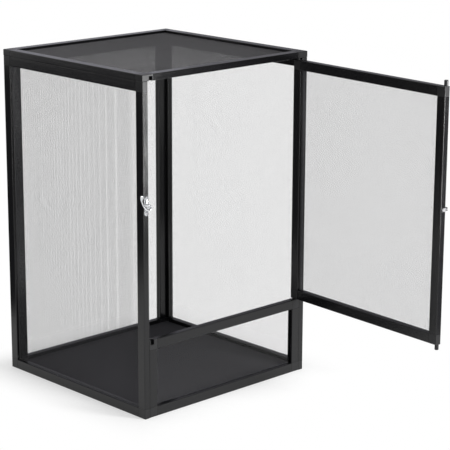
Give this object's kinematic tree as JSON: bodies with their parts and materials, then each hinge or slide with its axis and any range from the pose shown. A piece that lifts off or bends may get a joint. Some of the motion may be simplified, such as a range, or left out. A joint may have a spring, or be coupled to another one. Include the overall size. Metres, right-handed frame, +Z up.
{
  "type": "terrarium cabinet",
  "caption": "Upright screen cabinet for reptiles: hollow black rails with moulded corners, mesh panels, a mesh door on corner pins, a clear lower panel, a floor board and a small turn latch",
  "frame": {"origin": "on the ground at the middle of the cabinet's footprint, without the open door", "axes": "+X to the right as seen from the front, +Y to the back, +Z up; the front faces -Y"},
  "size_m": [0.4031, 0.7346, 0.6],
  "materials": {
    "frame_rail": "black powder coat on an aluminium extrusion, satin",
    "corner_block": "moulded black plastic, slightly lighter than the rails",
    "mesh": "dark coated wire mesh, see-through",
    "spline": "black rubber strip",
    "pane": "clear acrylic sheet",
    "floor_board": "black board, matt",
    "latch_metal": "bright plated"
  },
  "bodies": {
    "cabinet": {"left_panel_front_stile": "frame_rail", "left_panel_rear_stile": "frame_rail", "left_panel_top_rail": "frame_rail", "left_panel_bottom_rail": "frame_rail", "left_panel_corners": "corner_block", "left_panel_mesh": "mesh", "left_panel_spline": "spline", "right_panel_front_stile": "frame_rail", "right_panel_rear_stile": "frame_rail", "right_panel_top_rail": "frame_rail", "right_panel_bottom_rail": "frame_rail", "right_panel_corners": "corner_block", "right_panel_mesh": "mesh", "right_panel_spline": "spline", "rear_panel_left_stile": "frame_rail", "rear_panel_right_stile": "frame_rail", "rear_panel_top_rail": "frame_rail", "rear_panel_bottom_rail": "frame_rail", "rear_panel_corners": "corner_block", "rear_panel_mesh": "mesh", "rear_panel_spline": "spline", "top_panel_front_rail": "frame_rail", "top_panel_rear_rail": "frame_rail", "top_panel_left_rail": "frame_rail", "top_panel_right_rail": "frame_rail", "top_panel_hinge_corner": "corner_block", "top_panel_latch_corner": "corner_block", "top_panel_rear_corners": "corner_block", "top_panel_mesh": "mesh", "top_panel_spline": "spline", "lower_panel_left_stile": "frame_rail", "lower_panel_right_stile": "frame_rail", "lower_panel_top_rail": "frame_rail", "lower_panel_bottom_rail": "frame_rail", "lower_panel_hinge_corner": "corner_block", "lower_panel_latch_corner": "corner_block", "lower_panel_bottom_corners": "corner_block", "lower_panel_pane": "pane", "floor_board": "floor_board", "floor_pegs": "corner_block", "panel_pegs": "corner_block", "latch_base": "latch_metal", "latch_pivot": "latch_metal", "latch_screws": "latch_metal"},
    "door": {"door_hinge_stile": "frame_rail", "door_free_stile": "frame_rail", "door_top_rail": "frame_rail", "door_bottom_rail": "frame_rail", "door_hinge_corners": "corner_block", "door_free_corners": "corner_block", "door_mesh": "mesh", "door_spline": "spline", "door_keeper": "latch_metal", "keeper_screw": "latch_metal"},
    "lever": {"latch_lever": "latch_metal"}
  },
  "joints": [
    {"name": "door_hinge", "type": "hinge", "parent": "cabinet", "child": "door", "pos_m": [0.177, -0.1855, 0.36425], "axis": [0, 0, 1], "range_deg": [-87, 21]},
    {"name": "latch_turn", "type": "hinge", "parent": "cabinet", "child": "lever", "pos_m": [-0.18925, -0.1943, 0.378], "axis": [0, -1, 0], "range_deg": [-90, 20]}
  ]
}
